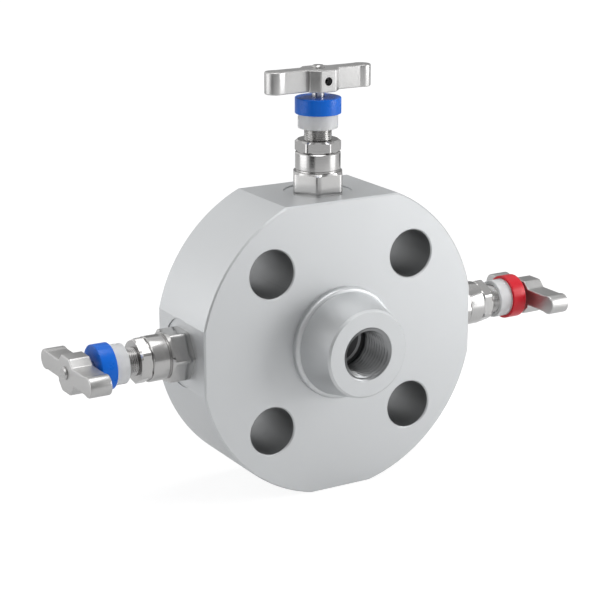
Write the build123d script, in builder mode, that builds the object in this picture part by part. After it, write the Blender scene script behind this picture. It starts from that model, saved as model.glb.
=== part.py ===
"""A flanged double block and bleed manifold: one flange body with three needle valves screwed into it.

The process flange bolts to the raised face and an instrument screws into the front boss. Two isolating
valves and a vent valve stand on flats cut round the rim. Sizes are in millimetres, +Z is up, the boss
points to -Y, and the origin is at the centre of the raised face.
"""
import os
from math import cos, radians, tan

from build123d import *

os.makedirs("parts", exist_ok=True)

# ---- flange body ----
flange_diameter = 124.0
flange_thickness = 38.4
raised_face_diameter = 50.8
raised_face_height = 1.6
rim_chamfer = 0.6
top_flat_distance = 56.7
side_flat_distance = 60.6
bottom_flat_distance = 60.5

# ---- bolting ----
bolt_circle_diameter = 88.9
bolt_count = 4
bolt_hole_diameter = 19.1
bolt_hole_chamfer = 0.5

# ---- instrument boss and ports; a taper thread is a plain bore at its pitch diameter ----
boss_diameter = 35.2
boss_length = 18.8
boss_chamfer = 0.8
collar_diameter = 45.0
collar_length = 3.0
collar_round = 1.6
instrument_port_diameter = 19.8
instrument_port_depth = 21.0
instrument_port_chamfer = 0.9
vent_port_diameter = 12.4
vent_port_depth = 14.0
vent_port_chamfer = 0.6
drill_point_angle = 118.0

# ---- drillings inside the flange ----
process_bore_diameter = 6.4
passage_diameter = 4.0
passage_wall_overlap = 0.6  # how far inside a chamber's wall a passage starts
passage_floor_overlap = 1.0  # how far behind the instrument port's floor its passage starts
vent_riser_top = 20.0  # how far below the centre the riser over the vent port stops
drill_start = 1.0  # how far outside a face a drill starts

# ---- valve cavity, with depths measured inwards from the flat ----
spotface_diameter = 27.0
spotface_depth = 0.6
cavity_diameter = 16.1
seal_ledge_depth = 18.4
chamber_diameter = 11.0
seat_rim_diameter = 6.6
seat_hole_diameter = 5.0
seat_depth = 27.0
seat_angle = 60.0
seat_hole_length = 12.0

# ---- bonnet, with heights measured outwards from the flat ----
bonnet_hex = 19.0
bonnet_hex_height = 8.3
bonnet_shank_diameter = 17.7
bonnet_shank_length = 8.2
bonnet_chamfer = 0.4
spigot_length = 15.4
hex_chamfer_angle = 30.0
seal_inner_diameter = 9.4
packing_diameter = 11.0
packing_floor_depth = 6.0
packing_ring_height = 2.0
packing_ring_count = 3
back_seat_depth = 11.0

# ---- gland ----
gland_bush_height = 3.0
neck_length = 7.0  # what stands above the lock nut
neck_chamfer = 0.6
lock_nut_hex = 16.0
lock_nut_thickness = 4.0

# ---- stem and needle ----
operating_thread_diameter = 7.8
operating_thread_length = 18.0
operating_thread_spare = 1.0  # left above the bush when the valve is shut
stem_packed_diameter = 6.0
stem_top_diameter = 5.0
stem_pivot_diameter = 3.6
stem_pivot_length = 4.0
stem_flat_depth = 0.4
stem_end_stand = 1.0  # what stands out of the handle
stem_end_chamfer = 0.5
needle_diameter = 7.6
needle_nose_diameter = 2.4
stem_travel = 3.75

# ---- dust cap and colour ring ----
cap_shut_gap = 0.75  # left above the lock nut when the valve is shut
cap_skirt_length = 5.7  # what shows under the colour ring
cap_diameter = 15.6
cap_wall = 1.7
cap_roof = 1.4
ring_diameter = 18.0
ring_height = 6.2
ring_roof = 1.6
ring_round = 0.5

# ---- T-bar handle ----
handle_gap = 2.7  # bare stem between the colour ring and the handle
handle_height = 8.6
handle_length = 46.4
arm_thickness = 6.4
arm_end_diameter = 8.4
hub_length = 13.2
hub_screw_side = 7.8  # from the stem's axis to the flat that the set screw is in
hub_plain_side = 6.3  # and to the flat behind it
hub_corner = 3.1
handle_round = 0.5
set_screw_diameter = 3.3
set_screw_length = 3.6
set_screw_socket = 1.6
set_screw_socket_depth = 1.5

# ---- clearances ----
screwed_clearance = 0.05
running_clearance = 0.04
seat_clearance = 0.10

# ---- places that follow from the sizes ----
front_face = -(raised_face_height + flange_thickness)
middle = -(raised_face_height + flange_thickness / 2)
boss_face = front_face - boss_length
bonnet_shank_height = bonnet_hex_height + bonnet_shank_length
lock_nut_top = bonnet_shank_height + lock_nut_thickness
neck_height = lock_nut_top + neck_length
packing_top = packing_ring_count * packing_ring_height - packing_floor_depth
gland_bush_top = packing_top + gland_bush_height
thread_bottom = gland_bush_top + stem_travel + operating_thread_spare
spigot_bottom = -(spotface_depth + spigot_length)
cap_bottom_height = lock_nut_top + stem_travel + cap_shut_gap
ring_bottom_height = cap_bottom_height + cap_skirt_length
ring_top = ring_bottom_height + ring_height
cap_top = ring_top - ring_roof
handle_base_height = ring_top + handle_gap
handle_top = handle_base_height + handle_height
neck_radius = packing_diameter / 2 - screwed_clearance
stem_bore_radius = stem_packed_diameter / 2 + running_clearance
needle_bore_radius = needle_diameter / 2 + running_clearance
seat_slope = tan(radians(seat_angle / 2))
chamber_floor = -seat_depth + (seat_rim_diameter - seat_hole_diameter) / 2 / seat_slope
needle_shoulder = -(back_seat_depth + running_clearance)

# Each valve stands on its own flat: z_dir is the way its stem points and x_dir lies along its handle
valve_places = {
    "top_isolate": Plane(origin=(0, middle, top_flat_distance), x_dir=(1, 0, 0), z_dir=(0, 0, 1)),
    "left_isolate": Plane(origin=(-side_flat_distance, middle, 0), x_dir=(0, -1, 0), z_dir=(-1, 0, 0)),
    "vent": Plane(origin=(side_flat_distance, middle, 0), x_dir=(0, 1, 0), z_dir=(1, 0, 0)),
}


def save(piece, name):
    """Names a finished piece and writes it to its own file."""
    piece.part.label = name
    export_step(piece.part, f"parts/{name}.step")


def turned(place, outline, mode=Mode.ADD):
    """Turns an outline of (radius, height) points about a plane's normal, inside an open part."""
    with BuildSketch(Plane(origin=place.origin, x_dir=place.x_dir, z_dir=-place.y_dir)) as section:
        with BuildLine():
            Polyline(*outline, close=True)
        make_face()
    revolve(section.sketch, axis=Axis(place.origin, place.z_dir), mode=mode)


def ring(place, inner, outer, bottom, top, mode=Mode.ADD):
    """A plain ring between two radii and two heights."""
    turned(place, [(inner, bottom), (outer, bottom), (outer, top), (inner, top)], mode)


def hexagon(place, bottom, top, across_flats, turn=0.0, both_ends=False):
    """A hexagon whose corners are turned down to a cone, as on a nut, in an open part with no more in it."""
    flat = across_flats / 2
    corner = flat / cos(radians(30))
    drop = (corner - flat) * tan(radians(hex_chamfer_angle))
    with BuildSketch(place.offset(bottom)) as section:
        RegularPolygon(flat, 6, major_radius=False, rotation=turn)
    extrude(section.sketch, amount=top - bottom)
    foot = [(flat, bottom), (corner, bottom + drop)] if both_ends else [(corner, bottom)]
    turned(place, [(0, bottom), *foot, (corner, top - drop), (flat, top), (0, top)], Mode.INTERSECT)


def drilling(start, end, diameter):
    """A straight drilled passage between two points, cut from an open part."""
    run = Vector(*end) - Vector(*start)
    with BuildSketch(Plane(origin=start, z_dir=run)) as section:
        Circle(diameter / 2)
    extrude(section.sketch, amount=run.length, mode=Mode.SUBTRACT)


def blind_port(face, diameter, depth, mouth_chamfer):
    """A drilled port with a countersunk mouth and a drill point, cut from an open part."""
    radius = diameter / 2
    mouth = radius + mouth_chamfer
    point = radius / tan(radians(drill_point_angle / 2))
    outline = [(0, drill_start), (mouth, drill_start), (mouth, 0), (radius, -mouth_chamfer), (radius, -depth)]
    outline.append((0, -depth - point))
    turned(face, outline, Mode.SUBTRACT)


# The flange body, with its boss, ports, bolt holes, valve cavities and drillings
with BuildPart() as flange_body:
    with BuildSketch(Plane.XZ.offset(raised_face_height)):
        Circle(flange_diameter / 2)
        with Locations((0, (top_flat_distance - bottom_flat_distance) / 2)):
            Rectangle(2 * side_flat_distance, top_flat_distance + bottom_flat_distance, mode=Mode.INTERSECT)
    extrude(amount=flange_thickness)
    chamfer(flange_body.faces().filter_by(Axis.Y).edges(), rim_chamfer)
    with BuildSketch(Plane.XZ):
        Circle(raised_face_diameter / 2)
    extrude(amount=raised_face_height)
    with BuildSketch(Plane.XZ.offset(-front_face)):
        Circle(collar_diameter / 2)
    extrude(amount=collar_length)
    fillet(flange_body.faces().sort_by(Axis.Y)[0].edges(), collar_round)
    with BuildSketch(Plane.XZ.offset(-front_face)):
        Circle(boss_diameter / 2)
    extrude(amount=boss_length)
    chamfer(flange_body.faces().sort_by(Axis.Y)[0].edges(), boss_chamfer)

    # the bolt holes lie on the diagonals between the flats
    with Locations(Plane.XZ.offset(-front_face)):
        with PolarLocations(bolt_circle_diameter / 2, bolt_count, start_angle=180 / bolt_count):
            Hole(bolt_hole_diameter / 2)
    hole_rims = flange_body.edges().filter_by(GeomType.CIRCLE)
    chamfer(hole_rims.filter_by(lambda rim: rim.radius == bolt_hole_diameter / 2), bolt_hole_chamfer)

    # each valve cavity steps down from its spotface to the seal ledge, the chamber and the seat
    for place in valve_places.values():
        cavity = [
            (0, spotface_depth),
            (spotface_diameter / 2, spotface_depth),
            (spotface_diameter / 2, -spotface_depth),
            (cavity_diameter / 2, -spotface_depth),
            (cavity_diameter / 2, -seal_ledge_depth),
            (chamber_diameter / 2, -seal_ledge_depth),
            (chamber_diameter / 2, chamber_floor),
            (seat_rim_diameter / 2, chamber_floor),
            (seat_hole_diameter / 2, -seat_depth),
            (seat_hole_diameter / 2, -seat_depth - seat_hole_length),
            (0, -seat_depth - seat_hole_length),
        ]
        turned(place, cavity, Mode.SUBTRACT)

    # process bore to the top seat, then from the top chamber to both side seats
    chamber_wall = chamber_diameter / 2 - passage_wall_overlap
    chamber_middle = (seal_ledge_depth - chamber_floor) / 2
    side_seat_hole_end = side_flat_distance - seat_depth - seat_hole_length + passage_diameter / 2
    drilling((0, drill_start, 0), (0, middle, 0), process_bore_diameter)
    drilling((0, middle, top_flat_distance - seat_depth), (0, middle, 0), seat_hole_diameter)
    for side in (-1, 1):
        drilling(
            (side * chamber_wall, middle, top_flat_distance - chamber_middle),
            (side * side_seat_hole_end, middle, 0),
            passage_diameter,
        )

    # instrument port, reached from the left chamber
    blind_port(
        Plane(origin=(0, boss_face, 0), x_dir=(1, 0, 0), z_dir=(0, -1, 0)),
        instrument_port_diameter,
        instrument_port_depth,
        instrument_port_chamfer,
    )
    port_floor = boss_face + instrument_port_depth
    drilling(
        (chamber_middle - side_flat_distance, middle - chamber_wall, 0),
        (-instrument_port_diameter / 4, port_floor + passage_floor_overlap, 0),
        passage_diameter,
    )

    # vent port in the bottom flat, with a riser reached from the vent valve's chamber
    blind_port(
        Plane(origin=(0, middle, -bottom_flat_distance), x_dir=(1, 0, 0), z_dir=(0, 0, -1)),
        vent_port_diameter,
        vent_port_depth,
        vent_port_chamfer,
    )
    drilling(
        (0, middle, vent_port_depth - bottom_flat_distance),
        (0, middle, -vent_riser_top),
        passage_diameter,
    )
    drilling(
        (side_flat_distance - chamber_middle, middle, -chamber_wall),
        (0, middle, -vent_riser_top - passage_diameter / 2),
        passage_diameter,
    )
save(flange_body, "flange_body")


for valve, place in valve_places.items():
    # Bonnet: hexagon, turned shank and screwed spigot, bored for the stem and the packing
    with BuildPart() as bonnet:
        hexagon(place, -spotface_depth, bonnet_hex_height, bonnet_hex)
        shank_radius = bonnet_shank_diameter / 2
        shank = [
            (0, spigot_bottom),
            (cavity_diameter / 2 - screwed_clearance - bonnet_chamfer, spigot_bottom),
            (cavity_diameter / 2 - screwed_clearance, spigot_bottom + bonnet_chamfer),
            (cavity_diameter / 2 - screwed_clearance, 0),
            (shank_radius, 0),
            (shank_radius, bonnet_shank_height - bonnet_chamfer),
            (shank_radius - bonnet_chamfer, bonnet_shank_height),
            (0, bonnet_shank_height),
        ]
        turned(place, shank)
        bore = [
            (0, spigot_bottom),
            (needle_bore_radius, spigot_bottom),
            (needle_bore_radius, -back_seat_depth),
            (stem_bore_radius, -back_seat_depth),
            (stem_bore_radius, -packing_floor_depth),
            (packing_diameter / 2, -packing_floor_depth),
            (packing_diameter / 2, bonnet_shank_height),
            (0, bonnet_shank_height),
        ]
        turned(place, bore, Mode.SUBTRACT)
    save(bonnet, f"{valve}_bonnet")

    # Seal ring, clamped between the spigot and the ledge in the flange
    with BuildPart() as bonnet_seal:
        seal_radius = cavity_diameter / 2 - screwed_clearance
        ring(place, seal_inner_diameter / 2, seal_radius, -seal_ledge_depth, spigot_bottom)
    save(bonnet_seal, f"{valve}_bonnet_seal")

    # Packing: loose rings stacked on the floor of the packing chamber
    with BuildPart() as packing:
        for layer in range(packing_ring_count):
            foot = layer * packing_ring_height - packing_floor_depth
            ring(place, stem_bore_radius, neck_radius, foot, foot + packing_ring_height - screwed_clearance)
    save(packing, f"{valve}_packing")

    with BuildPart() as gland_bush:
        ring(place, stem_bore_radius, neck_radius, packing_top, gland_bush_top)
    save(gland_bush, f"{valve}_gland_bush")

    # Gland screw: presses the packing, carries the stem's thread and stands out as the neck
    with BuildPart() as gland_screw:
        screw = [
            (operating_thread_diameter / 2 + running_clearance, gland_bush_top),
            (neck_radius, gland_bush_top),
            (neck_radius, neck_height - neck_chamfer),
            (neck_radius - neck_chamfer, neck_height),
            (operating_thread_diameter / 2 + running_clearance, neck_height),
        ]
        turned(place, screw)
    save(gland_screw, f"{valve}_gland_screw")

    # Lock nut on the neck, with its flats turned half a step from the bonnet's
    with BuildPart() as lock_nut:
        hexagon(place, bonnet_shank_height, lock_nut_top, lock_nut_hex, turn=30, both_ends=True)
        ring(place, 0, neck_radius + screwed_clearance, bonnet_shank_height, lock_nut_top, Mode.SUBTRACT)
    save(lock_nut, f"{valve}_lock_nut")

    # Needle: it slides without turning, and its cone lands on the seat when the stem is down
    needle_radius = needle_diameter / 2
    nose_radius = needle_nose_diameter / 2
    cone_at_seat = seat_hole_diameter / 2 - seat_clearance
    cone_top = stem_travel - seat_depth + (needle_radius - cone_at_seat) / seat_slope
    cone_bottom = stem_travel - seat_depth + (nose_radius - cone_at_seat) / seat_slope
    socket_radius = stem_pivot_diameter / 2 + running_clearance
    with BuildPart() as needle_tip:
        needle = [
            (0, cone_bottom),
            (nose_radius, cone_bottom),
            (needle_radius, cone_top),
            (needle_radius, needle_shoulder),
            (socket_radius, needle_shoulder),
            (socket_radius, needle_shoulder - stem_pivot_length - running_clearance),
            (0, needle_shoulder - stem_pivot_length - running_clearance),
        ]
        turned(place, needle)
    save(needle_tip, f"{valve}_needle_tip")

    # Stem: pivot in the needle, polished length in the packing, thread, and a shank with a flat
    stem_radius = stem_top_diameter / 2
    stem_top = handle_top + stem_end_stand
    with BuildPart() as stem:
        spindle = [
            (0, needle_shoulder - stem_pivot_length),
            (stem_pivot_diameter / 2, needle_shoulder - stem_pivot_length),
            (stem_pivot_diameter / 2, needle_shoulder + running_clearance),
            (stem_packed_diameter / 2, needle_shoulder + running_clearance),
            (stem_packed_diameter / 2, thread_bottom),
            (operating_thread_diameter / 2, thread_bottom),
            (operating_thread_diameter / 2, thread_bottom + operating_thread_length),
            (stem_radius, thread_bottom + operating_thread_length),
            (stem_radius, stem_top - stem_end_chamfer),
            (stem_radius - stem_end_chamfer, stem_top),
            (0, stem_top),
        ]
        turned(place, spindle)
        with BuildSketch(place.offset(handle_base_height)):
            with Locations((0, stem_flat_depth - stem_radius)):
                Rectangle(stem_top_diameter, stem_top_diameter, align=(Align.CENTER, Align.MAX))
        extrude(amount=handle_height + stem_end_stand, mode=Mode.SUBTRACT)
    save(stem, f"{valve}_stem")

    # T-bar handle: an eight-sided hub between two arms with round ends, held by a screw in the hub
    with BuildPart() as handle:
        with BuildSketch(place.offset(handle_base_height)) as plan:
            Rectangle(handle_length - arm_end_diameter, arm_thickness)
            with Locations(((handle_length - arm_end_diameter) / 2, 0), ((arm_end_diameter - handle_length) / 2, 0)):
                Circle(arm_end_diameter / 2)
            with BuildSketch(mode=Mode.PRIVATE) as hub:
                with Locations((0, (hub_plain_side - hub_screw_side) / 2)):
                    Rectangle(hub_length, hub_plain_side + hub_screw_side)
                chamfer(hub.vertices(), hub_corner)
            add(hub.sketch)
        extrude(amount=handle_height)
        rims = handle.faces().filter_by(Axis(place.origin, place.z_dir)).edges()
        chamfer(rims, handle_round)
        with BuildSketch(place.offset(handle_base_height)):
            Circle(stem_radius + screwed_clearance)
        extrude(amount=handle_height, mode=Mode.SUBTRACT)
        screw_side = Plane(
            origin=place.origin + place.z_dir * (handle_base_height + handle_height / 2),
            x_dir=place.x_dir,
            z_dir=-place.y_dir,
        )
        with BuildSketch(screw_side):
            Circle(set_screw_diameter / 2)
        extrude(amount=hub_screw_side, mode=Mode.SUBTRACT)
    save(handle, f"{valve}_handle")

    # Grub screw in the hub, its end on the stem's flat and a hexagon socket in its outer end
    with BuildPart() as set_screw:
        with BuildSketch(screw_side.offset(stem_radius - stem_flat_depth)):
            Circle(set_screw_diameter / 2 - screwed_clearance)
        extrude(amount=set_screw_length)
        with BuildSketch(screw_side.offset(stem_radius - stem_flat_depth + set_screw_length)):
            RegularPolygon(set_screw_socket / 2, 6, major_radius=False)
        extrude(amount=-set_screw_socket_depth, mode=Mode.SUBTRACT)
    save(set_screw, f"{valve}_set_screw")

    # Dust cap: a clear cup that rides on the stem and keeps the thread clean
    cap_radius = cap_diameter / 2
    stem_hole = stem_radius + screwed_clearance
    with BuildPart() as dust_cap:
        cup = [
            (cap_radius - cap_wall, cap_bottom_height),
            (cap_radius, cap_bottom_height),
            (cap_radius, cap_top),
            (stem_hole, cap_top),
            (stem_hole, cap_top - cap_roof),
            (cap_radius - cap_wall, cap_top - cap_roof),
        ]
        turned(place, cup)
    save(dust_cap, f"{valve}_dust_cap")

    # Colour ring: a flanged collar pressed over the cap, which shows what the valve does
    with BuildPart() as colour_ring:
        collar = [
            (cap_radius + screwed_clearance, ring_bottom_height),
            (ring_diameter / 2, ring_bottom_height),
            (ring_diameter / 2, ring_top - ring_round),
            (ring_diameter / 2 - ring_round, ring_top),
            (stem_hole, ring_top),
            (stem_hole, cap_top),
            (cap_radius + screwed_clearance, cap_top),
        ]
        turned(place, collar)
    save(colour_ring, f"{valve}_colour_ring")
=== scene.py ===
# Flanged block and bleed manifold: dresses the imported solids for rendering.
# Lengths are in metres, +Z is up and the instrument boss points to -Y.
import math

import bpy
import numpy as np
from mathutils import Matrix, Vector


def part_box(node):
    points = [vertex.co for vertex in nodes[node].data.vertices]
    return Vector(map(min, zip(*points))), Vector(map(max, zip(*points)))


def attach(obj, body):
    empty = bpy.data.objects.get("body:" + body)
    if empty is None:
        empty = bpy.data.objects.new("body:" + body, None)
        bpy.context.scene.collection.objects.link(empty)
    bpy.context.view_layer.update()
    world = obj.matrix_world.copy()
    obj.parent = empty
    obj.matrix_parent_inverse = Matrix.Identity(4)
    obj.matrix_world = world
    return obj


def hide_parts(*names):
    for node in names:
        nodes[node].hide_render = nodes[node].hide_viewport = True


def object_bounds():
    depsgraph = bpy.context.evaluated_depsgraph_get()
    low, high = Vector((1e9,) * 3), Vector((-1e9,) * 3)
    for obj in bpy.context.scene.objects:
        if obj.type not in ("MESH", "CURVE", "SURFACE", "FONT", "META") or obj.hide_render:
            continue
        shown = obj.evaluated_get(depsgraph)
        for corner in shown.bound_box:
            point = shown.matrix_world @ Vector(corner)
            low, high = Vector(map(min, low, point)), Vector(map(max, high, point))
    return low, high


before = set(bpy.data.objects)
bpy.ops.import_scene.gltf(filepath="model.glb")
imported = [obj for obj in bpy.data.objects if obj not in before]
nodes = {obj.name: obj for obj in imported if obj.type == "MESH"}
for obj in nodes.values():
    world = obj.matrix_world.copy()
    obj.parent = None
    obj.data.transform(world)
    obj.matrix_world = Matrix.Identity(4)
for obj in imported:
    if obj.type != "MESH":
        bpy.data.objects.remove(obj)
cadLow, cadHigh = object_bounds()
scene = bpy.context.scene
print("frame loaded:", len(nodes), "solids")


camera = {
    "position": (-0.35974, -0.61437, 0.21573),
    "aim": (-0.01929, -0.04000, 0.01984),
    "roll": 0.10,  # degrees
    "lens": 109.28,
    "sensor": 36.0,
    "clip": (0.01, 20.0),
}


def makeCamera(values):
    # looks from position to aim with +Z up, then rolls about its own line of sight
    data = bpy.data.cameras.new("camera")
    data.lens = values["lens"]
    data.sensor_width = values["sensor"]
    data.clip_start, data.clip_end = values["clip"]
    eye = bpy.data.objects.new("camera", data)
    scene.collection.objects.link(eye)
    eye.location = values["position"]
    looking = Vector(values["aim"]) - Vector(values["position"])
    eye.rotation_mode = "QUATERNION"
    roll = Matrix.Rotation(math.radians(values["roll"]), 3, "Z").to_quaternion()
    eye.rotation_quaternion = looking.to_track_quat("-Z", "Y") @ roll
    scene.camera = eye


makeCamera(camera)
print("camera ready")


studio = {
    "floorSize": 6.0,
    "floorDrop": 0.0002,  # gap under the lowest point of the manifold
    "floorMatt": 0.70,  # what the floor throws back onto the manifold
    "floorSeen": 0.26,  # the lit part of the floor that the camera sees, which carries the shadow
    "floorGlow": 0.86,  # and the unlit part, near the manifold
    "floorFarGlow": 0.97,  # and where the lamps no longer reach
    "floorGlowFrom": 0.4,  # distances over which the glow rises
    "floorGlowTo": 1.6,
    "floorMirrored": 0.44,  # how much of the glowing floor metal finds
    "ambient": 0.36,
    "ambientColour": (0.97, 0.98, 1.0, 1),
    "mirrorFront": 0.30,  # brightness that metal finds in the room behind the camera
    "mirrorSide": 0.62,
    "mirrorBack": 1.00,  # and in the white backdrop
    "backDirection": (-0.30, 0.90, 0.15),
    "cardRoughness": 0.9,
    "cards": [
        # name, centre, aim, width, height, tone, glow
        ("darkLeft", (-0.34, -0.22, 0.03), (0.0, -0.03, 0.0), 0.20, 0.30, 0.06, 0.0),
        ("darkBack", (0.31, 0.49, 0.21), (0.0, -0.03, 0.21), 0.52, 0.44, 0.04, 0.24),
        ("brightLeft", (-0.39, 0.12, 0.02), (0.0, -0.03, 0.02), 0.31, 0.24, 0.8, 1.6),
        ("brightRight", (0.33, -0.29, -0.02), (0.0, -0.03, -0.02), 0.24, 0.16, 0.8, 1.6),
        ("darkLowBack", (0.42, 0.30, -0.05), (0.0, -0.03, -0.05), 0.40, 0.11, 0.04, 0.0),
    ],
    "lamps": [
        # name, position, aim, width, height, watts
        ("keyLamp", (0.44, -0.36, 0.17), (0.03, -0.03, 0.0), 0.26, 0.38, 1.68),
        ("sideLamp", (-0.95, 0.10, 0.40), (0.0, -0.03, 0.0), 0.50, 0.80, 1.3),
        ("topLamp", (0.05, -0.05, 0.95), (0.0, 0.0, 0.0), 0.70, 0.50, 3.9),
    ],
}


def grey(level):
    return (level, level, level, 1)


def newNode(tree, kind, inputs=None, operation=None):
    node = tree.nodes.new(kind)
    if operation:
        node.operation = operation
    for label, value in (inputs or {}).items():
        node.inputs[label].default_value = value
    return node


def makeFloor(values):
    # a flat square under the manifold; its glow rises evenly with the distance from the middle
    half = values["floorSize"] / 2
    height = cadLow.z - values["floorDrop"]
    mesh = bpy.data.meshes.new("floor")
    corners = [(-half, -half, height), (half, -half, height), (half, half, height), (-half, half, height)]
    mesh.from_pydata(corners, [], [(0, 1, 2, 3)])
    floor = bpy.data.objects.new("floor", mesh)
    scene.collection.objects.link(floor)
    material = bpy.data.materials.new("paleFloor")
    material.use_nodes = True
    tree = material.node_tree
    tree.nodes.clear()
    link = tree.links.new
    out = newNode(tree, "ShaderNodeOutputMaterial")
    matt = newNode(tree, "ShaderNodeBsdfDiffuse", {"Color": grey(values["floorMatt"])})
    seenMatt = newNode(tree, "ShaderNodeBsdfDiffuse", {"Color": grey(values["floorSeen"])})
    where = newNode(tree, "ShaderNodeTexCoord")
    away = newNode(tree, "ShaderNodeVectorMath", operation="LENGTH")
    distances = {"From Min": values["floorGlowFrom"], "From Max": values["floorGlowTo"]}
    glows = {"To Min": values["floorGlow"], "To Max": values["floorFarGlow"]}
    rise = newNode(tree, "ShaderNodeMapRange", {**distances, **glows})
    glow = newNode(tree, "ShaderNodeEmission", {"Color": grey(1)})
    link(where.outputs["Object"], away.inputs[0])
    link(away.outputs["Value"], rise.inputs["Value"])
    link(rise.outputs[0], glow.inputs["Strength"])
    both = newNode(tree, "ShaderNodeAddShader")
    link(seenMatt.outputs[0], both.inputs[0])
    link(glow.outputs[0], both.inputs[1])
    # share of the glowing floor: 1 for the camera and through clear plastic, floorMirrored for metal, else 0
    path = newNode(tree, "ShaderNodeLightPath")
    seen = newNode(tree, "ShaderNodeMath", operation="MAXIMUM")
    share = newNode(tree, "ShaderNodeMath", {1: values["floorMirrored"]}, "MULTIPLY_ADD")
    pick = newNode(tree, "ShaderNodeMixShader")
    link(path.outputs["Is Camera Ray"], seen.inputs[0])
    link(path.outputs["Is Transmission Ray"], seen.inputs[1])
    link(path.outputs["Is Glossy Ray"], share.inputs[0])
    link(seen.outputs[0], share.inputs[2])
    link(share.outputs[0], pick.inputs[0])
    link(matt.outputs[0], pick.inputs[1])
    link(both.outputs[0], pick.inputs[2])
    link(pick.outputs[0], out.inputs["Surface"])
    mesh.materials.append(material)


def makeWorld(values):
    # white behind everything; metal finds a room that is dim in front and white at the back
    world = bpy.data.worlds.new("studio")
    scene.world = world
    world.use_nodes = True
    tree = world.node_tree
    tree.nodes.clear()
    link = tree.links.new
    out = newNode(tree, "ShaderNodeOutputWorld")
    path = newNode(tree, "ShaderNodeLightPath")
    white = newNode(tree, "ShaderNodeBackground", {"Color": grey(1), "Strength": 1.0})
    dim = {"Color": values["ambientColour"], "Strength": values["ambient"]}
    ambient = newNode(tree, "ShaderNodeBackground", dim)
    mirror = newNode(tree, "ShaderNodeBackground")
    where = newNode(tree, "ShaderNodeTexCoord")
    # (cosine of the angle to backDirection + 1) / 2 picks a place on the ramp from front to back
    back = Vector(values["backDirection"]).normalized()
    towards = newNode(tree, "ShaderNodeVectorMath", {1: back}, "DOT_PRODUCT")
    halved = newNode(tree, "ShaderNodeMath", {1: 0.5, 2: 0.5}, "MULTIPLY_ADD")
    room = newNode(tree, "ShaderNodeValToRGB")
    room.color_ramp.interpolation = "EASE"
    stops = room.color_ramp.elements
    stops[0].position, stops[1].position = 0.0, 1.0
    middle = stops.new(0.5)
    for stop, level in zip((stops[0], middle, stops[-1]), ("mirrorFront", "mirrorSide", "mirrorBack")):
        stop.color = grey(values[level])
    link(where.outputs["Generated"], towards.inputs[0])
    link(towards.outputs["Value"], halved.inputs[0])
    link(halved.outputs[0], room.inputs[0])
    link(room.outputs["Color"], mirror.inputs["Color"])
    toMirror = newNode(tree, "ShaderNodeMixShader")
    toWhite = newNode(tree, "ShaderNodeMixShader")
    clear = newNode(tree, "ShaderNodeMath", operation="MAXIMUM")
    link(path.outputs["Is Camera Ray"], clear.inputs[0])
    link(path.outputs["Is Transmission Ray"], clear.inputs[1])
    link(path.outputs["Is Glossy Ray"], toMirror.inputs[0])
    link(ambient.outputs[0], toMirror.inputs[1])
    link(mirror.outputs[0], toMirror.inputs[2])
    link(clear.outputs[0], toWhite.inputs[0])
    link(toMirror.outputs[0], toWhite.inputs[1])
    link(white.outputs[0], toWhite.inputs[2])
    link(toWhite.outputs[0], out.inputs["Surface"])


def makeLamp(name, position, aim, width, height, watts):
    data = bpy.data.lights.new(name, "AREA")
    data.shape = "RECTANGLE"
    data.size, data.size_y = width, height
    data.energy = watts
    lamp = bpy.data.objects.new(name, data)
    scene.collection.objects.link(lamp)
    lamp.location = position
    lamp.visible_camera = False
    looking = Vector(aim) - Vector(position)
    lamp.rotation_euler = looking.to_track_quat("-Z", "Y").to_euler()


def makeCard(name, middle, aim, width, height, tone, glow):
    # a flat card across the line to its aim, which only metal finds: dark ones shade a side, bright ones
    # draw a streak
    centre = Vector(middle)
    looking = (Vector(aim) - centre).normalized()
    across = looking.cross(Vector((0, 0, 1))).normalized() * width / 2
    up = across.cross(looking).normalized() * height / 2
    corners = [centre - across - up, centre + across - up, centre + across + up, centre - across + up]
    mesh = bpy.data.meshes.new(name)
    mesh.from_pydata([tuple(corner) for corner in corners], [], [(0, 1, 2, 3)])
    card = bpy.data.objects.new(name, mesh)
    scene.collection.objects.link(card)
    cloth = bpy.data.materials.new(name + "Cloth")
    cloth.use_nodes = True
    shader = cloth.node_tree.nodes["Principled BSDF"]
    shader.inputs["Base Color"].default_value = grey(tone)
    shader.inputs["Roughness"].default_value = studio["cardRoughness"]
    shader.inputs["Emission Color"].default_value = grey(1)
    shader.inputs["Emission Strength"].default_value = glow
    mesh.materials.append(cloth)
    card.visible_camera = card.visible_diffuse = card.visible_shadow = card.visible_transmission = False


makeFloor(studio)
for cardValues in studio["cards"]:
    makeCard(*cardValues)
makeWorld(studio)
for lampValues in studio["lamps"]:
    makeLamp(*lampValues)
scene.view_settings.view_transform = "Standard"
print("studio ready")


patterns = {
    "fineShare": 0.3,  # of the fine cloud in a tone's drift
    "fineScale": 9.0,  # how many times finer it is than the coarse one
    "wander": 0.00003,  # how far a turning mark drifts in each radian round the axis
    "broadScale": 0.16,  # broad turning marks against fine ones
    "dentScale": 0.14,  # a skin's dents against its grain
}
noiseRange = (0.3, 0.7)  # where nearly all of a noise's values lie


def newGroup(name, inputs, outputs):
    group = bpy.data.node_groups.new(name, "ShaderNodeTree")
    for label, kind, value in inputs:
        socket = group.interface.new_socket(name=label, in_out="INPUT", socket_type=kind)
        if value is not None:
            socket.default_value = value
    for label, kind in outputs:
        group.interface.new_socket(name=label, in_out="OUTPUT", socket_type=kind)
    return group, group.nodes.new("NodeGroupInput"), group.nodes.new("NodeGroupOutput")


def mathNode(tree, operation, first, second=None, third=None):
    node = tree.nodes.new("ShaderNodeMath")
    node.operation = operation
    for slot, value in enumerate((first, second, third)):
        if value is None:
            continue
        if isinstance(value, (int, float)):
            node.inputs[slot].default_value = value
        else:
            tree.links.new(value, node.inputs[slot])
    return node.outputs[0]


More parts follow.
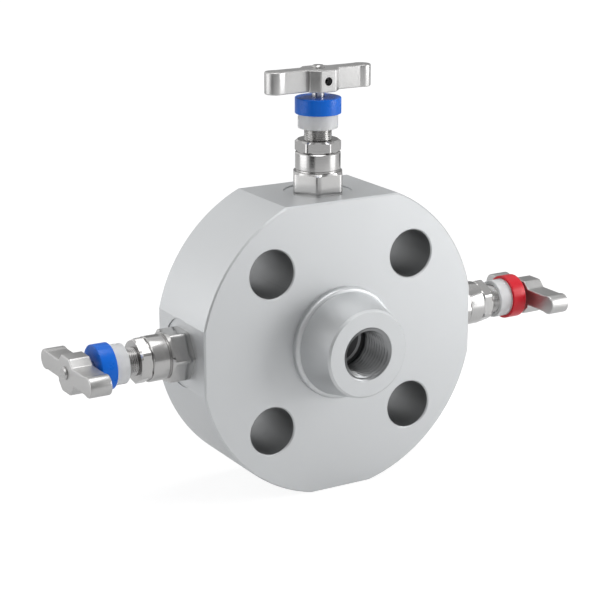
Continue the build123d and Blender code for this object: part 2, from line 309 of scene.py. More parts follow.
def noiseNode(tree, vector, scale, detail, roughness):
    node = tree.nodes.new("ShaderNodeTexNoise")
    node.inputs["Detail"].default_value = detail
    node.inputs["Roughness"].default_value = roughness
    tree.links.new(vector, node.inputs["Vector"])
    if isinstance(scale, (int, float)):
        node.inputs["Scale"].default_value = scale
    else:
        tree.links.new(scale, node.inputs["Scale"])
    return node.outputs["Fac"]


def makeToneGroup(values):
    # tone = colour times (1 + amount * (cloud - 0.5)), with a coarse and a fine cloud
    group, given, out = newGroup(
        "toneDrift",
        [
            ("Vector", "NodeSocketVector", None),
            ("Colour", "NodeSocketColor", (0.7, 0.7, 0.7, 1)),
            ("Amount", "NodeSocketFloat", 0.1),
            ("Scale", "NodeSocketFloat", 40.0),
        ],
        [("Colour", "NodeSocketColor"), ("Cloud", "NodeSocketFloat")],
    )
    coarse = noiseNode(group, given.outputs["Vector"], given.outputs["Scale"], detail=4.0, roughness=0.6)
    fineScale = mathNode(group, "MULTIPLY", given.outputs["Scale"], values["fineScale"])
    fine = noiseNode(group, given.outputs["Vector"], fineScale, detail=2.0, roughness=0.5)
    coarsePart = mathNode(group, "MULTIPLY", coarse, 1 - values["fineShare"])
    finePart = mathNode(group, "MULTIPLY", fine, values["fineShare"])
    cloud = mathNode(group, "ADD", coarsePart, finePart)
    centred = mathNode(group, "SUBTRACT", cloud, 0.5)
    factor = mathNode(group, "MULTIPLY_ADD", centred, given.outputs["Amount"], 1.0)
    scaled = group.nodes.new("ShaderNodeVectorMath")
    scaled.operation = "SCALE"
    group.links.new(given.outputs["Colour"], scaled.inputs[0])
    group.links.new(factor, scaled.inputs["Scale"])
    group.links.new(scaled.outputs[0], out.inputs["Colour"])
    group.links.new(cloud, out.inputs["Cloud"])
    return group


def makeLatheGroup(values):
    # turning marks: noise over distance from the axis and height, which hardly changes round the axis
    group, given, out = newGroup(
        "latheMarks",
        [
            ("Vector", "NodeSocketVector", None),
            ("Pitch", "NodeSocketFloat", 0.00012),
            ("Chatter", "NodeSocketFloat", 0.3),
        ],
        [("Height", "NodeSocketFloat"), ("Mask", "NodeSocketFloat")],
    )
    split = group.nodes.new("ShaderNodeSeparateXYZ")
    group.links.new(given.outputs["Vector"], split.inputs[0])
    squares = [mathNode(group, "MULTIPLY", split.outputs[axis], split.outputs[axis]) for axis in "XY"]
    radius = mathNode(group, "SQRT", mathNode(group, "ADD", *squares))
    turning = mathNode(group, "ARCTAN2", split.outputs["Y"], split.outputs["X"])
    rings = group.nodes.new("ShaderNodeCombineXYZ")
    group.links.new(radius, rings.inputs["X"])
    group.links.new(split.outputs["Z"], rings.inputs["Y"])
    group.links.new(mathNode(group, "MULTIPLY", turning, values["wander"]), rings.inputs["Z"])
    pitchScale = mathNode(group, "DIVIDE", 1.0, given.outputs["Pitch"])
    fine = noiseNode(group, rings.outputs[0], pitchScale, detail=2.0, roughness=0.6)
    broadScale = mathNode(group, "MULTIPLY", pitchScale, values["broadScale"])
    broad = noiseNode(group, rings.outputs[0], broadScale, detail=2.0, roughness=0.5)
    height = mathNode(group, "ADD", fine, mathNode(group, "MULTIPLY", broad, given.outputs["Chatter"]))
    group.links.new(height, out.inputs["Height"])
    group.links.new(broad, out.inputs["Mask"])
    return group


def makeGrainGroup(values):
    # blasted or tumbled skin: fine isotropic grain, with soft dents of a larger size
    group, given, out = newGroup(
        "skinGrain",
        [
            ("Vector", "NodeSocketVector", None),
            ("Size", "NodeSocketFloat", 0.0004),
            ("Dents", "NodeSocketFloat", 0.4),
        ],
        [("Height", "NodeSocketFloat"), ("Mask", "NodeSocketFloat")],
    )
    scale = mathNode(group, "DIVIDE", 1.0, given.outputs["Size"])
    fine = noiseNode(group, given.outputs["Vector"], scale, detail=2.0, roughness=0.5)
    dentScale = mathNode(group, "MULTIPLY", scale, values["dentScale"])
    dents = noiseNode(group, given.outputs["Vector"], dentScale, detail=3.0, roughness=0.5)
    height = mathNode(group, "ADD", fine, mathNode(group, "MULTIPLY", dents, given.outputs["Dents"]))
    group.links.new(height, out.inputs["Height"])
    group.links.new(dents, out.inputs["Mask"])
    return group


def makeBoreGroup():
    # 1 inside four holes along Y, at plus and minus Offset in X and Z, where Y is below Deepest, and 0
    # elsewhere; an Offset of 0 makes them one hole
    group, given, out = newGroup(
        "insideHoles",
        [
            ("Vector", "NodeSocketVector", None),
            ("Offset", "NodeSocketFloat", 0.0314),
            ("Radius", "NodeSocketFloat", 0.0096),
            ("Deepest", "NodeSocketFloat", 1.0),
        ],
        [("Mask", "NodeSocketFloat")],
    )
    split = group.nodes.new("ShaderNodeSeparateXYZ")
    group.links.new(given.outputs["Vector"], split.inputs[0])
    offset = given.outputs["Offset"]
    mirrored = [mathNode(group, "ABSOLUTE", split.outputs[axis]) for axis in "XZ"]
    along = [mathNode(group, "SUBTRACT", value, offset) for value in mirrored]
    squares = [mathNode(group, "MULTIPLY", value, value) for value in along]
    distance = mathNode(group, "SQRT", mathNode(group, "ADD", *squares))
    within = mathNode(group, "LESS_THAN", distance, given.outputs["Radius"])
    shallow = mathNode(group, "LESS_THAN", split.outputs["Y"], given.outputs["Deepest"])
    group.links.new(mathNode(group, "MULTIPLY", within, shallow), out.inputs["Mask"])
    return group


toneGroup = makeToneGroup(patterns)
latheGroup = makeLatheGroup(patterns)
grainGroup = makeGrainGroup(patterns)
boreGroup = makeBoreGroup()


def groupNode(tree, group, **values):
    node = tree.nodes.new("ShaderNodeGroup")
    node.node_tree = group
    for label, value in values.items():
        node.inputs[label].default_value = value
    return node


def startMaterial(name, colour, metallic, roughness):
    material = bpy.data.materials.new(name)
    material.use_nodes = True
    material.diffuse_color = (*colour, 1)
    tree = material.node_tree
    shader = tree.nodes["Principled BSDF"]
    shader.inputs["Base Color"].default_value = (*colour, 1)
    shader.inputs["Metallic"].default_value = metallic
    shader.inputs["Roughness"].default_value = roughness
    where = tree.nodes.new("ShaderNodeTexCoord")
    return material, tree, shader, where.outputs["Object"]


def addBump(tree, shader, height, strength, distance):
    bump = tree.nodes.new("ShaderNodeBump")
    bump.inputs["Strength"].default_value = strength
    bump.inputs["Distance"].default_value = distance
    tree.links.new(height, bump.inputs["Height"])
    tree.links.new(bump.outputs["Normal"], shader.inputs["Normal"])


def spreadRoughness(tree, shader, mask, low, high):
    noise = {"From Min": noiseRange[0], "From Max": noiseRange[1]}
    spread = newNode(tree, "ShaderNodeMapRange", {**noise, "To Min": low, "To Max": high})
    tree.links.new(mask, spread.inputs["Value"])
    tree.links.new(spread.outputs[0], shader.inputs["Roughness"])


def driftColour(tree, shader, coordinates, values):
    colour = (*values["colour"], 1)
    tone = groupNode(tree, toneGroup, Colour=colour, Amount=values["drift"], Scale=values["driftScale"])
    tree.links.new(coordinates, tone.inputs["Vector"])
    tree.links.new(tone.outputs["Colour"], shader.inputs["Base Color"])
    return tone.outputs["Cloud"]


def addSkin(tree, shader, coordinates, values):
    skin = groupNode(tree, grainGroup, Size=values["grain"], Dents=values["dents"])
    tree.links.new(coordinates, skin.inputs["Vector"])
    addBump(tree, shader, skin.outputs["Height"], values["bump"], values["bumpDepth"])
    return skin.outputs["Mask"]


def axisCoordinates(tree, coordinates, centre, outward):
    # moves the line through centre along outward onto Z, so that rings lie round it
    mapping = tree.nodes.new("ShaderNodeMapping")
    mapping.vector_type = "POINT"
    turn = Vector(outward).rotation_difference(Vector((0, 0, 1)))
    mapping.inputs["Rotation"].default_value = turn.to_euler()
    moved = turn @ Vector(centre)
    mapping.inputs["Location"].default_value = -moved
    tree.links.new(coordinates, mapping.inputs["Vector"])
    return mapping.outputs[0]


def turnedMetal(name, values, centre, outward):
    material, tree, shader, coordinates = startMaterial(name, values["colour"], 1.0, values["roughness"][0])
    driftColour(tree, shader, coordinates, values)
    marks = groupNode(tree, latheGroup, Pitch=values["pitch"], Chatter=values["chatter"])
    tree.links.new(axisCoordinates(tree, coordinates, centre, outward), marks.inputs["Vector"])
    spreadRoughness(tree, shader, marks.outputs["Mask"], *values["roughness"])
    addBump(tree, shader, marks.outputs["Height"], values["bump"], values["bumpDepth"])
    return material


def grainedFinish(name, values):
    smoothest = values["roughness"][0]
    material, tree, shader, coordinates = startMaterial(name, values["colour"], values["metallic"], smoothest)
    cloud = driftColour(tree, shader, coordinates, values)
    spreadRoughness(tree, shader, cloud, *values["roughness"])
    addSkin(tree, shader, coordinates, values)
    return material


def paintBoreShade(material, values):
    # painted shade: inside the drilled bores the base colour is darkened to the given colour, standing in for
    # the shade that falls there
    tree = material.node_tree
    shader = tree.nodes["Principled BSDF"]
    light = shader.inputs["Base Color"].links[0].from_socket
    where = next(node for node in tree.nodes if node.type == "TEX_COORD")
    offset, radius, deepest = values["offset"], values["radius"], values["deepest"]
    holes = groupNode(tree, boreGroup, Offset=offset, Radius=radius, Deepest=deepest)
    tree.links.new(where.outputs["Object"], holes.inputs["Vector"])
    mix = tree.nodes.new("ShaderNodeMix")
    mix.data_type = "RGBA"
    mix.inputs["B"].default_value = (*values["colour"], 1)
    tree.links.new(holes.outputs["Mask"], mix.inputs["Factor"])
    tree.links.new(light, mix.inputs["A"])
    tree.links.new(mix.outputs["Result"], shader.inputs["Base Color"])


def grooveFace(material, values):
    # the raised face keeps the fine rings that its gasket grips; they lie only above level along Y
    tree = material.node_tree
    shader = tree.nodes["Principled BSDF"]
    where = next(node for node in tree.nodes if node.type == "TEX_COORD")
    local = axisCoordinates(tree, where.outputs["Object"], (0, 0, 0), (0, 1, 0))
    rings = groupNode(tree, latheGroup, Pitch=values["pitch"], Chatter=values["chatter"])
    tree.links.new(local, rings.inputs["Vector"])
    split = tree.nodes.new("ShaderNodeSeparateXYZ")
    tree.links.new(where.outputs["Object"], split.inputs[0])
    raised = mathNode(tree, "GREATER_THAN", split.outputs["Y"], values["level"])
    bump = tree.nodes.new("ShaderNodeBump")
    bump.inputs["Strength"].default_value = values["strength"]
    bump.inputs["Distance"].default_value = values["depth"]
    tree.links.new(mathNode(tree, "MULTIPLY", rings.outputs["Height"], raised), bump.inputs["Height"])
    tree.links.new(shader.inputs["Normal"].links[0].from_socket, bump.inputs["Normal"])
    tree.links.new(bump.outputs["Normal"], shader.inputs["Normal"])


def mouldedPlastic(name, values):
    material, tree, shader, coordinates = startMaterial(name, values["colour"], 0.0, values["roughness"][0])
    driftColour(tree, shader, coordinates, values)
    dents = addSkin(tree, shader, coordinates, values)
    spreadRoughness(tree, shader, dents, *values["roughness"])
    shader.inputs["IOR"].default_value = values["ior"]
    shader.inputs["Specular IOR Level"].default_value = values["shine"]
    shader.inputs["Transmission Weight"].default_value = values["transmission"]
    return material


finishes = {
    "flange": {
        "colour": (0.60, 0.612, 0.62), "metallic": 1.0, "roughness": (0.47, 0.56), "drift": 0.05,
        "driftScale": 22.0, "grain": 0.0005, "dents": 0.25, "bump": 0.10, "bumpDepth": 0.0003,
    },
    # a darker copy of the steel: painted shade for the threads inside the ports
    "tapped": {
        "colour": (0.28, 0.285, 0.29), "metallic": 1.0, "roughness": (0.30, 0.42), "drift": 0.10,
        "driftScale": 80.0, "grain": 0.0004, "dents": 0.4, "bump": 0.15, "bumpDepth": 0.0002,
    },
    "turned": {
        "colour": (0.50, 0.495, 0.49), "roughness": (0.19, 0.26), "drift": 0.08, "driftScale": 60.0,
        "pitch": 0.00012, "chatter": 0.2, "bump": 0.012, "bumpDepth": 0.00005,
    },
    "cast": {
        "colour": (0.50, 0.497, 0.493), "metallic": 1.0, "roughness": (0.34, 0.42), "drift": 0.12,
        "driftScale": 90.0, "grain": 0.0005, "dents": 0.5, "bump": 0.08, "bumpDepth": 0.0003,
    },
    "blackened": {
        "colour": (0.14, 0.14, 0.145), "metallic": 1.0, "roughness": (0.38, 0.55), "drift": 0.3,
        "driftScale": 200.0, "grain": 0.0003, "dents": 0.3, "bump": 0.2, "bumpDepth": 0.0002,
    },
    "packing": {
        "colour": (0.82, 0.82, 0.79), "metallic": 0.0, "roughness": (0.5, 0.65), "drift": 0.06,
        "driftScale": 80.0, "grain": 0.0004, "dents": 0.3, "bump": 0.15, "bumpDepth": 0.0002,
    },
    "clear": {
        "colour": (0.97, 0.975, 0.98), "roughness": (0.40, 0.48), "drift": 0.03, "driftScale": 50.0,
        "grain": 0.0008, "dents": 0.2, "bump": 0.015, "bumpDepth": 0.0002,
        "ior": 1.49, "shine": 0.5, "transmission": 0.45,
    },
    "blue": {
        "colour": (0.0, 0.148, 0.72), "roughness": (0.26, 0.36), "drift": 0.06, "driftScale": 70.0,
        "grain": 0.0006, "dents": 0.6, "bump": 0.10, "bumpDepth": 0.0003,
        "ior": 1.5, "shine": 0.3, "transmission": 0.0,
    },
    "red": {
        "colour": (0.66, 0.016, 0.030), "roughness": (0.26, 0.36), "drift": 0.06, "driftScale": 70.0,
        "grain": 0.0006, "dents": 0.6, "bump": 0.10, "bumpDepth": 0.0003,
        "ior": 1.5, "shine": 0.3, "transmission": 0.0,
    },
}
boltCircle = 0.0889
# painted shade inside the four bolt holes
boltHoleShade = {
    "offset": boltCircle / 2 * math.sqrt(0.5),
    "radius": 0.0096,
    "deepest": 1.0,
    "colour": (0.31, 0.315, 0.32),
}
# painted shade inside the instrument port's bore
portBoreShade = {"offset": 0.0, "radius": 0.0090, "deepest": -0.030, "colour": (0.16, 0.16, 0.165)}
gasketFace = {"level": -0.0008, "pitch": 0.0008, "chatter": 0.2, "strength": 0.5, "depth": 0.00008}
satinSteel = grainedFinish("satinSteel", finishes["flange"])
# the flange steel gets painted shade in its bolt holes and in its port bore
paintBoreShade(satinSteel, boltHoleShade)
paintBoreShade(satinSteel, portBoreShade)
grooveFace(satinSteel, gasketFace)
tappedSteelShaded = grainedFinish("tappedSteelShaded", finishes["tapped"])
castSteel = grainedFinish("castSteel", finishes["cast"])
blackSteel = grainedFinish("blackSteel", finishes["blackened"])
packingWhite = grainedFinish("packingWhite", finishes["packing"])
clearPlastic = mouldedPlastic("clearPlastic", finishes["clear"])
bluePlastic = mouldedPlastic("bluePlastic", finishes["blue"])
redPlastic = mouldedPlastic("redPlastic", finishes["red"])


def repaint(node, material):
    mesh = nodes[node].data
    mesh.materials.clear()
    mesh.materials.append(material)


repaint("flange_body", satinSteel)
print("finishes ready")


def gridPiece(name, points, closed, sharpAngle=35.0):
    # points is rows by columns by 3; each cell of the grid becomes one four-sided face, the last column joins
    # the first, and in a closed piece the last row joins the first as well
    rows, columns = points.shape[:2]
    across = np.arange(columns)
    along = np.arange(rows if closed else rows - 1)
    row, column = np.meshgrid(along, across, indexing="ij")
    nextRow, nextColumn = (row + 1) % rows, (column + 1) % columns
    lower = [row * columns + column, row * columns + nextColumn]
    upper = [nextRow * columns + nextColumn, nextRow * columns + column]
    faces = np.stack(lower + upper, axis=-1).reshape(-1, 4)
    mesh = bpy.data.meshes.new(name)
    mesh.from_pydata(points.reshape(-1, 3).tolist(), [], faces.tolist())
    mesh.shade_smooth()
    mesh.set_sharp_from_angle(angle=math.radians(sharpAngle))
    mesh.update()
    piece = bpy.data.objects.new(name, mesh)
    scene.collection.objects.link(piece)
    return piece


mostOfSide = 0.45  # the share of a side that the rounding at one of its ends may use up


def roundedOutline(corners, rounds, steps):
    # corners are (radius, height) in a closed loop; each gives way to a curve that touches both of its sides,
    # (1 - t)^2 start + 2 t (1 - t) corner + t^2 end, which stands in for the arc of that rounding
    corners = np.array(corners, float)
    before = np.roll(corners, 1, axis=0) - corners
    after = np.roll(corners, -1, axis=0) - corners
    lengthBefore = np.linalg.norm(before, axis=1)
    lengthAfter = np.linalg.norm(after, axis=1)
    before, after = before / lengthBefore[:, None], after / lengthAfter[:, None]
    half = np.arccos(np.clip((before * after).sum(1), -1, 1)) / 2
    longest = mostOfSide * np.minimum(lengthBefore, lengthAfter) * np.tan(half)
    reach = np.minimum(np.array(rounds, float), longest) / np.tan(half)
    start, end = corners + before * reach[:, None], corners + after * reach[:, None]
    t = np.linspace(0, 1, steps + 1)[None, :, None]
    curves = (1 - t) ** 2 * start[:, None] + 2 * t * (1 - t) * corners[:, None] + t**2 * end[:, None]
    return curves.reshape(-1, 2)


def lathed(outline, columns, limit=None):
    # turns an outline of (radius, height) about Z, where limit(angle) may hold the radius down
    angle = np.linspace(0, 2 * math.pi, columns, endpoint=False)
    radius = np.repeat(outline[:, :1], columns, axis=1)
    if limit is not None:
        radius = np.minimum(radius, limit(angle)[None, :])
    height = np.repeat(outline[:, 1:2], columns, axis=1)
    return np.stack([radius * np.cos(angle), radius * np.sin(angle), height], axis=-1)


class Valve:
    # one valve's own directions: height runs out along the stem from the flange's centre, x along the handle
    def __init__(self, name, outward, alongHandle, plastic, plasticSlot):
        self.name, self.plastic, self.plasticSlot = name, plastic, plasticSlot
        self.outward, self.alongHandle = Vector(outward), Vector(alongHandle)
        self.sideways = self.outward.cross(self.alongHandle)
        low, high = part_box(f"{name}_stem")
        middle = (low + high) / 2
        self.centre = middle - self.outward * middle.dot(self.outward)

    def span(self, part):
        # lowest and highest point of a solid along the stem
        low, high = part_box(f"{self.name}_{part}")
        return sorted((low.dot(self.outward), high.dot(self.outward)))

    def place(self, points):
        # from the valve's own directions to the flange's
        turn = np.array([self.alongHandle, self.sideways, self.outward])
        return points @ turn + np.array(self.centre)


valves = [
    Valve("top_isolate", (0, 0, 1), (1, 0, 0), bluePlastic, "blue_plastic"),
    Valve("left_isolate", (-1, 0, 0), (0, -1, 0), bluePlastic, "blue_plastic"),
    Valve("vent", (1, 0, 0), (0, 1, 0), redPlastic, "red_plastic"),
]


def finishPiece(piece, material, slot, body, *replaced):
    piece.data.materials.append(material)
    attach(piece, body)
    if replaced:
        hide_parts(*replaced)


bonnet = {
    "acrossFlats": 0.0190,
    "hexCorner": 0.00030,  # rounding of the hexagon's upright edges
    "hexLength": 0.0089,
    "shankRadius": 0.00885,
    "shankLength": 0.0074,
    "spigotRadius": 0.0080,
    "edge": 0.00035,
    "boreRadius": 0.00550,
    "boreFloor": 0.0060,  # packing chamber's floor below the flat
    "stemRadius": 0.00304,
    "needleRadius": 0.00384,
    "backSeat": 0.0110,
    "spotface": 0.0006,
    "reliefDepth": 0.00035,  # groove round the foot of the shank, with its top edge sloped
    "reliefEdge": 0.0006,
    "reliefEnd": 0.0009,
    "round": 0.0001,
    "columns": 180,
}


def hexLimit(flat, corner, turn):
    # polar radius of a hexagon, flat / cos(angle from the middle of its side), eased into the radius that its
    # corners are cut to by the soft minimum -log(exp(-a) + exp(-b))
    def limit(angle):
        fromMiddle = (angle + turn + math.pi / 6) % (math.pi / 3) - math.pi / 6
        sharp = flat / np.cos(fromMiddle)
        top = flat / math.cos(math.pi / 6) - corner
        easing = corner / 4
        return -np.log(np.exp(-sharp / easing) + np.exp(-top / easing)) * easing

    return limit


def hexOutline(flat, low, high, edge, bothEnds):
    # side of the hexagon, with its corners turned down to a 30 degree cone at the top, or at both ends
    corner = flat / math.cos(math.pi / 6)
    drop = (corner - flat) * math.tan(math.pi / 6)
    foot = [(flat - edge, low), (flat, low), (corner, low + drop)] if bothEnds else [(corner, low)]
    return foot + [(corner, high - drop), (flat, high)]


def makeBonnet(valve, values):
    # half the section, up the spigot, hexagon and shank and down the bores, turned round the stem
    low, high = valve.span("bonnet")
    high -= lockNut["lowered"]
    flat = values["acrossFlats"] / 2
    hexTop = high - values["shankLength"]
    hexFoot = hexTop - values["hexLength"]
    seatLevel = hexFoot + values["spotface"]
    edge, shank = values["edge"], values["shankRadius"]
    relief = shank - values["reliefDepth"]
    corners = [
        (values["needleRadius"], low),
        (values["spigotRadius"], low),
        (values["spigotRadius"], hexFoot),
        *hexOutline(flat, hexFoot, hexTop, edge, False),
        (relief, hexTop),
        (relief, hexTop + values["reliefEdge"]),
        (shank, hexTop + values["reliefEnd"]),
        (shank, high - edge),
        (shank - edge, high),
        (values["boreRadius"], high),
        (values["boreRadius"], seatLevel - values["boreFloor"]),
        (values["stemRadius"], seatLevel - values["boreFloor"]),
        (values["stemRadius"], seatLevel - values["backSeat"]),
        (values["needleRadius"], seatLevel - values["backSeat"]),
    ]
    outline = roundedOutline(corners, [values["round"]] * len(corners), steps=3)
    points = lathed(outline, values["columns"], hexLimit(flat, values["hexCorner"], math.pi / 6))
    return gridPiece(f"{valve.name}_bonnet_turned", valve.place(points), closed=True, sharpAngle=25.0)


lockNut = {
    "acrossFlats": 0.0160,
    "hexCorner": 0.00025,
    "edge": 0.0003,
    "boreRadius": 0.0055,
    "lowered": 0.0008,  # how far its foot lies below the solid's, which leaves the bonnet's shank shorter
    "round": 0.00008,
    "columns": 180,
}


def makeLockNut(valve, values):
    # half the section turned round the stem, with the hexagon's sides as the limit of its radius
    low, high = valve.span("lock_nut")
    low -= values["lowered"]
    flat = values["acrossFlats"] / 2
    bore = values["boreRadius"]
    corners = [(bore, low), *hexOutline(flat, low, high, values["edge"], True), (bore, high)]
    outline = roundedOutline(corners, [values["round"]] * len(corners), steps=3)
    points = lathed(outline, values["columns"], hexLimit(flat, values["hexCorner"], 0.0))
    return gridPiece(f"{valve.name}_lock_nut_turned", valve.place(points), closed=True, sharpAngle=25.0)


neck = {
    "crestRadius": 0.00545,
    "depth": 0.00036,
    "pitch": 0.00075,
    "boreRadius": 0.00394,
    "chamfer": 0.0006,
    "columns": 96,
    "rowsPerTurn": 10,
}


threadFlat = 0.12  # share of a thread's flank that is flat at the crest, and as much at the root


def threadWave(phase):
    # a thread's section: 1 on the crest and 0 at the root, with straight flanks between
    ramp = 1 - np.abs((phase % 1.0) * 2 - 1)
    return np.clip((ramp - threadFlat) / (1 - 2 * threadFlat), 0, 1)


def makeNeck(valve, values):
    low, high = valve.span("gland_screw")
    start = valve.span("lock_nut")[0]
    rows = int((high - start) / values["pitch"] * values["rowsPerTurn"])
    height = np.linspace(start, high, rows)[:, None]
    angle = np.linspace(0, 2 * math.pi, values["columns"], endpoint=False)[None, :]
    # radius falls from the crest by the thread's depth, and by the chamfer at the free end
    groove = values["depth"] * (1 - threadWave(height / values["pitch"] - angle / (2 * math.pi)))
    taper = np.clip(height - (high - values["chamfer"]), 0, None)
    radius = np.minimum(values["crestRadius"] - groove, values["crestRadius"] - taper)
    outer = np.stack([radius * np.cos(angle), radius * np.sin(angle), height + 0 * angle], axis=-1)
    bore, crest = values["boreRadius"], values["crestRadius"]
    inner = lathed(np.array([(bore, high), (bore, low)]), values["columns"])
    foot = lathed(np.array([(crest, low), (crest, start)]), values["columns"])
    points = np.concatenate([foot, outer, inner])
    return gridPiece(f"{valve.name}_neck_threaded", valve.place(points), closed=True, sharpAngle=30.0)


cap = {
    "radius": 0.0078,
    "wall": 0.0017,
    "roof": 0.0014,
    "stemRadius": 0.00255,
    "edge": 0.0004,
    "columns": 96,
}


def makeCap(valve, values):
    # the section of a cup's wall and roof, turned round the stem
    low, high = valve.span("dust_cap")
    radius, wall, hole = values["radius"], values["wall"], values["stemRadius"]
    corners = [
        (radius - wall, low), (radius, low), (radius, high), (hole, high),
        (hole, high - values["roof"]), (radius - wall, high - values["roof"]),
    ]
    edge = values["edge"]
    outline = roundedOutline(corners, [edge, edge, edge / 2, edge / 2, edge / 2, edge * 2], steps=4)
    points = lathed(outline, values["columns"])
    return gridPiece(f"{valve.name}_dust_cap_moulded", valve.place(points), closed=True)


colourRing = {
    "radius": 0.0090,
    "clearance": 0.00005,  # round the cap
    "roof": 0.0016,
    "stemRadius": 0.00255,
    "edge": 0.0004,
    "lowerEdge": 0.00024,
    "innerEdge": 0.0002,
    "columns": 128,
}


def makeColourRing(valve, values):
    # the section of a collar that goes over the cap and its roof, turned round the stem
    low, high = valve.span("colour_ring")
    inside = cap["radius"] + values["clearance"]
    corners = [
        (inside, low), (values["radius"], low), (values["radius"], high), (values["stemRadius"], high),
        (values["stemRadius"], high - values["roof"]), (inside, high - values["roof"]),
    ]
    inner = values["innerEdge"]
    rounds = [inner, values["lowerEdge"], values["edge"], inner, inner / 2, inner]
    points = lathed(roundedOutline(corners, rounds, steps=5), values["columns"])
    return gridPiece(f"{valve.name}_colour_ring_moulded", valve.place(points), closed=True)


handle = {
    "length": 0.04635,
    "armThickness": 0.0070,
    "endDiameter": 0.0078,
    "hubLength": 0.0132,
    "screwSide": 0.0078,  # from the stem to the flat with the set screw
    "plainSide": 0.0063,
    "hubCorner": 0.0031,
    "edge": 0.0005,
    "softness": 70.0,  # higher makes the casting's corners crisper
    "endSoftness": 24.0,
    "stemRadius": 0.00255,
    "screwRadius": 0.00165,
    "drillLength": 0.02,
    "drillColumns": 40,
    "columns": 520,
    "samples": 24001,  # of the outline, before it is divided evenly into columns
    "edgeRows": 6,
    "faceShares": [0.35, 0.7, 1.0],  # where rows cross the flat faces, from the outline to the bore
}


def handleOutline(values):
    # seen along the stem: at each angle the hub, the arm or the round end, whichever is further out; corners
    # are eased by the soft minimum (a^-p + b^-p)^(-1/p) and the soft maximum (a^p + b^p)^(1/p)
    angle = np.linspace(0, 2 * math.pi, values["samples"])
    notZero = 1e-9
    c, s = np.abs(np.cos(angle)) + notZero, np.abs(np.sin(angle)) + notZero
    halfLength = values["hubLength"] / 2
    halfDepth = np.where(np.sin(angle) < 0, values["screwSide"], values["plainSide"])
    slant = (halfLength + halfDepth - values["hubCorner"]) / (c + s)
    p = values["softness"]
    hub = ((halfLength / c) ** -p + (halfDepth / s) ** -p + slant**-p) ** (-1 / p)
    endRadius = values["endDiameter"] / 2
    reach = values["length"] / 2 - endRadius
    arm = ((reach / c) ** -p + (values["armThickness"] / 2 / s) ** -p) ** (-1 / p)
    inside = np.clip(endRadius**2 - (reach * s) ** 2, 0, None)
    tip = np.where(reach * s < endRadius, reach * c + np.sqrt(inside), 0)
    q = values["endSoftness"]
    lever = (arm**q + tip**q) ** (1 / q)
    radius = (hub**p + lever**p) ** (1 / p)
    points = np.stack([radius * np.cos(angle), radius * np.sin(angle)], axis=-1)
    steps = np.concatenate([[0], np.cumsum(np.linalg.norm(np.diff(points, axis=0), axis=1))])
    even = np.linspace(0, steps[-1], values["columns"], endpoint=False)
    return np.stack([np.interp(even, steps, points[:, 0]), np.interp(even, steps, points[:, 1])], axis=-1)


def makeHandle(valve, values):
    low, high = valve.span("handle")
    outline = handleOutline(values)
    tangent = np.roll(outline, -1, axis=0) - np.roll(outline, 1, axis=0)
    tangent /= np.linalg.norm(tangent, axis=1)[:, None]
    inward = np.stack([-tangent[:, 1], tangent[:, 0]], axis=-1)
    edge = values["edge"]
    # rows climb the side, go round the edge, cross the top to the bore, go down it and come back underneath
    turn = np.linspace(0, math.pi / 2, values["edgeRows"])
    insetUp, liftUp = edge * (1 - np.cos(turn)), high - edge + edge * np.sin(turn)
    insetDown, liftDown = insetUp[::-1], low + edge - edge * np.sin(turn[::-1])
    sides = [outline + inward * inset for inset in np.concatenate([insetDown, insetUp])]
    lifts = list(np.concatenate([liftDown, liftUp]))
    around = np.arctan2(outline[:, 1], outline[:, 0])
    hole = values["stemRadius"] * np.stack([np.cos(around), np.sin(around)], axis=-1)
    shares = values["faceShares"]
    top = [sides[-1] * (1 - share) + hole * share for share in shares]
    bottom = [sides[0] * (1 - share) + hole * share for share in reversed(shares)]
    lifts += [high] * len(shares) + [low] * len(shares)
    flat = np.stack(sides + top + bottom)
    height = np.array(lifts)[:, None, None] * np.ones((1, values["columns"], 1))
    points = np.concatenate([flat, height], axis=-1)
    body = gridPiece(f"{valve.name}_handle_cast", valve.place(points), closed=True, sharpAngle=30.0)
    drillHandle(body, valve, values, (low + high) / 2)
    return body


def drillHandle(body, valve, values, height):
    # the screw hole runs from the bore out through the side of the hub
    radius, length = values["screwRadius"], values["drillLength"]
    outline = np.array([(0.0, 0.0), (radius, 0.0), (radius, length), (0.0, length)])
    rod = lathed(outline, values["drillColumns"])
    rod = np.stack([rod[..., 0], -rod[..., 2], rod[..., 1] + height], axis=-1)
    cutter = gridPiece("cutter", valve.place(rod), closed=False)
    mesh = cutter.data
    modifier = body.modifiers.new("screwHole", "BOOLEAN")
    modifier.operation = "DIFFERENCE"
    modifier.solver = "EXACT"
    modifier.object = cutter
    bpy.context.view_layer.update()
    cut = bpy.data.meshes.new_from_object(body.evaluated_get(bpy.context.evaluated_depsgraph_get()))
    body.modifiers.clear()
    body.data = cut
    cut.shade_smooth()
    cut.set_sharp_from_angle(angle=math.radians(30))
    bpy.data.objects.remove(cutter)
    bpy.data.meshes.remove(mesh)


bossTaper = {
    "bossLength": 0.0188,
    "collarLength": 0.0030,
    "chamfer": 0.0008,
    "footRadius": 0.0209,
    "tipRadius": 0.01765,
    "sunk": 0.0004,  # how far the piece's hidden faces lie inside the boss and the collar
    "columns": 160,
}


def makeBossTaper(values):
    # the boss's side: its radius falls evenly from the collar to the chamfer round the boss's face
    level = bodyLow.y
    foot = -level - values["bossLength"] + values["collarLength"] - values["sunk"]
    tip = -level - values["chamfer"]
    inside = values["tipRadius"] - values["sunk"]
    side = [(values["footRadius"], foot), (values["tipRadius"], tip)]
    ring = lathed(np.array([(inside, foot), *side, (inside, tip)]), values["columns"])
    points = np.stack([ring[..., 0], -ring[..., 2], ring[..., 1]], axis=-1)
    return gridPiece("boss_side_tapered", points, closed=True, sharpAngle=20.0)


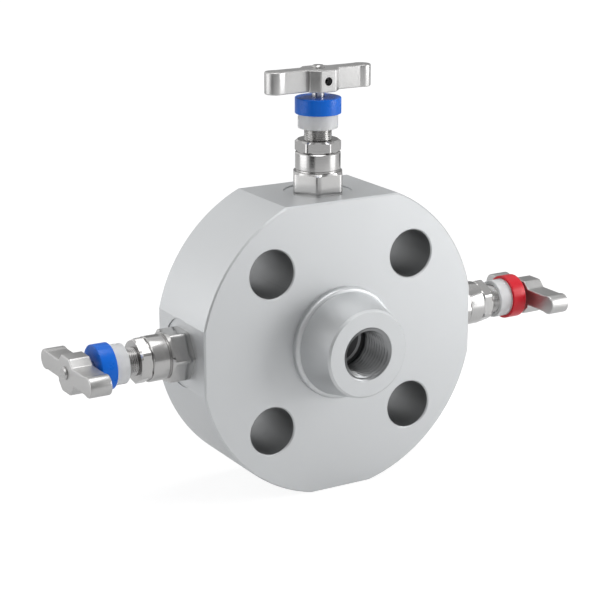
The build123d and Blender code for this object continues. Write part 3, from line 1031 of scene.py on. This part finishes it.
portThreads = {
    "instrument_port": {
        "radius": 0.0099, "depth": 0.00095, "pitch": 0.001814, "length": 0.0190, "chamfer": 0.0009,
    },
    "vent_port": {
        "radius": 0.0062, "depth": 0.00072, "pitch": 0.001411, "length": 0.0125, "chamfer": 0.0006,
    },
}
threadMesh = {
    "rowsPerTurn": 12,
    "columns": 128,
    "start": 0.2,  # share of the chamfer that the sleeve leaves free
    "fadeIn": 0.6,  # turns over which the ridge rises, and at the bottom dies away
    "fadeOut": 1.5,
    "wallGap": 0.00002,
}


def makePortThread(name, mouth, inward, values):
    # a sleeve inside the bore: its radius is the bore's less a ridge that winds inwards, rises from nothing
    # at the mouth and fades out before the bottom; the sleeve opens with the chamfer
    pitch, start = values["pitch"], values["chamfer"] * threadMesh["start"]
    rows = int(values["length"] / pitch * threadMesh["rowsPerTurn"])
    depth = np.linspace(start, values["length"], rows)[:, None]
    angle = np.linspace(0, 2 * math.pi, threadMesh["columns"], endpoint=False)[None, :]
    fadeIn = np.clip((depth - start) / (pitch * threadMesh["fadeIn"]), 0, 1)
    fadeOut = np.clip((values["length"] - depth) / (pitch * threadMesh["fadeOut"]), 0, 1)
    ridge = values["depth"] * threadWave(depth / pitch + angle / (2 * math.pi)) * fadeIn * fadeOut
    opened = np.clip(values["chamfer"] - depth, 0, None)
    radius = values["radius"] - threadMesh["wallGap"] + opened - ridge
    inward = Vector(inward)
    across = inward.orthogonal().normalized()
    up = inward.cross(across)
    ring = np.cos(angle)[..., None] * np.array(across) + np.sin(angle)[..., None] * np.array(up)
    points = np.array(mouth) + depth[..., None] * np.array(inward) + radius[..., None] * ring
    return gridPiece(f"{name}_thread", points[::-1], closed=False, sharpAngle=40.0)


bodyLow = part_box("flange_body")[0]
for valve in valves:
    name = valve.name
    turned = turnedMetal(f"turnedSteel_{name}", finishes["turned"], valve.centre, valve.outward)
    finishPiece(makeBonnet(valve, bonnet), turned, "turned_stainless", "manifold", f"{name}_bonnet")
    finishPiece(makeLockNut(valve, lockNut), turned, "turned_stainless", "manifold", f"{name}_lock_nut")
    finishPiece(makeNeck(valve, neck), turned, "turned_stainless", "manifold", f"{name}_gland_screw")
    finishPiece(makeCap(valve, cap), clearPlastic, "clear_plastic", f"{name}_spindle", f"{name}_dust_cap")
    ringPiece = makeColourRing(valve, colourRing)
    finishPiece(ringPiece, valve.plastic, valve.plasticSlot, f"{name}_spindle", f"{name}_colour_ring")
    finishPiece(makeHandle(valve, handle), castSteel, "cast_stainless", f"{name}_spindle", f"{name}_handle")
    for part, material in [
        ("stem", turned), ("needle_tip", turned), ("gland_bush", turned),
        ("bonnet_seal", turned), ("packing", packingWhite), ("set_screw", blackSteel),
    ]:
        repaint(f"{name}_{part}", material)
    print(name, "valve dressed")

finishPiece(makeBossTaper(bossTaper), satinSteel, "satin_stainless", "manifold")
for port, mouth, inward in [
    ("instrument_port", (0.0, bodyLow.y, 0.0), (0, 1, 0)),
    ("vent_port", (0.0, valves[0].centre.y, bodyLow.z), (0, 0, 1)),
]:
    thread = makePortThread(port, mouth, inward, portThreads[port])
    # the thread gets the steel darkened with painted shade
    finishPiece(thread, tappedSteelShaded, "satin_stainless", "manifold")
print("ports threaded")
